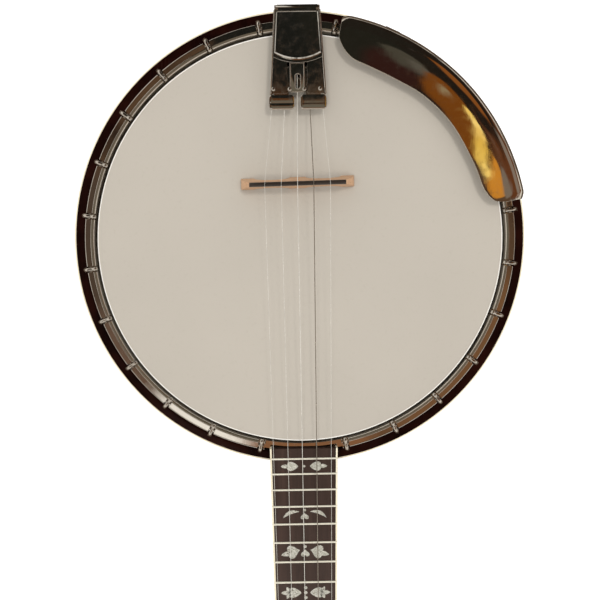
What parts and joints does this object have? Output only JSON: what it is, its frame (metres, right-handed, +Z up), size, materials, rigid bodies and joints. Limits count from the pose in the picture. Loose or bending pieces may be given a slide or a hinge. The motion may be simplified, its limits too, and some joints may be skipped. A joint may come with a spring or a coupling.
{
  "type": "five-string resonator banjo",
  "caption": "Five-string resonator banjo with a bracket-tensioned frosted head, hinged tailpiece cover, armrest, bound fretted neck, geared tuners and a side peg.",
  "frame": {"origin": "on the pot's axis, on the flat back of the resonator", "axes": "+Z up out of the head, +Y from the pot's centre to the tailpiece, neck along -Y, +X towards the fifth string"},
  "size_m": [0.3284, 0.9637, 0.1082],
  "materials": {
    "aluminium": "mill finish",
    "black_plastic": "gloss",
    "bone": "polished bone",
    "bridge_maple": "unfinished maple",
    "bronze": "turned bell bronze",
    "cream_binding": "gloss",
    "ebony": "oiled",
    "fret_wire": "nickel silver, polished",
    "fretboard_ebony": "oiled dark fretboard wood",
    "frosted_head": "frosted white coating",
    "headstock_black": "black gloss veneer",
    "maple": "plain laminated maple",
    "neck_walnut": "gloss dark brown lacquer",
    "nickel": "polished nickel plate",
    "nickel_armrest": "polished nickel plate",
    "nickel_flange": "polished nickel plate",
    "nickel_hoop": "polished nickel plate",
    "nickel_lid": "polished nickel plate",
    "nickel_tailpiece": "polished nickel plate",
    "pearl": "polished pearl shell",
    "pearl_plastic": "pearloid",
    "plain_string": "bright plain steel wire",
    "steel": "plain steel",
    "walnut_gloss": "high-gloss dark red-brown lacquer over figured wood",
    "wound_string": "round-wound nickel wire"
  },
  "bodies": {
    "banjo": {"armrest_clamps": "nickel", "armrest_plate": "nickel_armrest", "armrest_screws": "steel", "bracket_hooks": "nickel", "bracket_nuts": "nickel", "bridge_base": "bridge_maple", "bridge_cap": "ebony", "coordinator_rods": "steel", "fifth_peg_bushing": "nickel", "fifth_string_nut": "bone", "flange": "nickel_flange", "flesh_hoop": "aluminium", "fret_inlays": "pearl", "fretboard": "fretboard_ebony", "fretboard_binding": "cream_binding", "frets": "fret_wire", "head_film": "frosted_head", "headstock_overlay": "headstock_black", "lag_bolts": "steel", "neck": "neck_walnut", "nut": "bone", "resonator_binding": "cream_binding", "resonator_lugs": "maple", "resonator_shell": "walnut_gloss", "resonator_thumbscrews": "nickel", "rim": "maple", "rod_nuts": "steel", "string_1": "plain_string", "string_2": "plain_string", "string_3": "plain_string", "string_4": "wound_string", "string_5": "plain_string", "tailpiece_bolt": "nickel", "tailpiece_frame": "nickel_tailpiece", "tailpiece_hanger": "nickel", "tailpiece_pin": "steel", "tension_hoop": "nickel_hoop", "tone_ring": "bronze", "truss_cover_screws": "nickel", "truss_rod": "steel", "truss_rod_cover": "black_plastic", "tuner_bushings": "nickel", "tuner_housings": "nickel"},
    "tuner_1_knob": {"tuner_1_button": "pearl_plastic", "tuner_1_shaft": "steel"},
    "tuner_1_peg": {"tuner_1_post": "nickel"},
    "tuner_2_knob": {"tuner_2_button": "pearl_plastic", "tuner_2_shaft": "steel"},
    "tuner_2_peg": {"tuner_2_post": "nickel"},
    "tuner_3_knob": {"tuner_3_button": "pearl_plastic", "tuner_3_shaft": "steel"},
    "tuner_3_peg": {"tuner_3_post": "nickel"},
    "tuner_4_knob": {"tuner_4_button": "pearl_plastic", "tuner_4_shaft": "steel"},
    "tuner_4_peg": {"tuner_4_post": "nickel"},
    "fifth_peg": {"fifth_peg_shaft": "nickel", "fifth_peg_button": "pearl_plastic"},
    "tailpiece_cover": {"tailpiece_lid": "nickel_lid"}
  },
  "joints": [
    {"name": "tuner_1_turn", "type": "hinge", "parent": "banjo", "child": "tuner_1_knob", "pos_m": [-0.0224, -0.67608, 0.04038], "axis": [0, -0.2252, 0.9743], "continuous": true},
    {"name": "tuner_1_wind", "type": "hinge", "parent": "banjo", "child": "tuner_1_peg", "pos_m": [-0.0224, -0.68058, 0.05987], "axis": [0, -0.2252, 0.9743], "continuous": true},
    {"name": "tuner_2_turn", "type": "hinge", "parent": "banjo", "child": "tuner_2_knob", "pos_m": [-0.0189, -0.73844, 0.02597], "axis": [0, -0.2252, 0.9743], "continuous": true},
    {"name": "tuner_2_wind", "type": "hinge", "parent": "banjo", "child": "tuner_2_peg", "pos_m": [-0.0189, -0.74294, 0.04546], "axis": [0, -0.2252, 0.9743], "continuous": true},
    {"name": "tuner_3_turn", "type": "hinge", "parent": "banjo", "child": "tuner_3_knob", "pos_m": [0.0121, -0.73844, 0.02597], "axis": [0, -0.2252, 0.9743], "continuous": true},
    {"name": "tuner_3_wind", "type": "hinge", "parent": "banjo", "child": "tuner_3_peg", "pos_m": [0.0121, -0.74294, 0.04546], "axis": [0, -0.2252, 0.9743], "continuous": true},
    {"name": "tuner_4_turn", "type": "hinge", "parent": "banjo", "child": "tuner_4_knob", "pos_m": [0.0156, -0.67608, 0.04038], "axis": [0, -0.2252, 0.9743], "continuous": true},
    {"name": "tuner_4_wind", "type": "hinge", "parent": "banjo", "child": "tuner_4_peg", "pos_m": [0.0156, -0.68058, 0.05987], "axis": [0, -0.2252, 0.9743], "continuous": true},
    {"name": "fifth_peg_turn", "type": "hinge", "parent": "banjo", "child": "fifth_peg", "pos_m": [0.0144, -0.50321, 0.06767], "axis": [1, 0, 0], "continuous": true},
    {"name": "tailpiece_lid_hinge", "type": "hinge", "parent": "banjo", "child": "tailpiece_cover", "pos_m": [0, 0.152, 0.0995], "axis": [-1, 0, 0], "range_deg": [0, 95]}
  ],
  "couplings": [
    {"joint": "tuner_1_wind", "follows": "tuner_1_turn", "ratio": 0.25},
    {"joint": "tuner_2_wind", "follows": "tuner_2_turn", "ratio": 0.25},
    {"joint": "tuner_3_wind", "follows": "tuner_3_turn", "ratio": 0.25},
    {"joint": "tuner_4_wind", "follows": "tuner_4_turn", "ratio": 0.25}
  ]
}
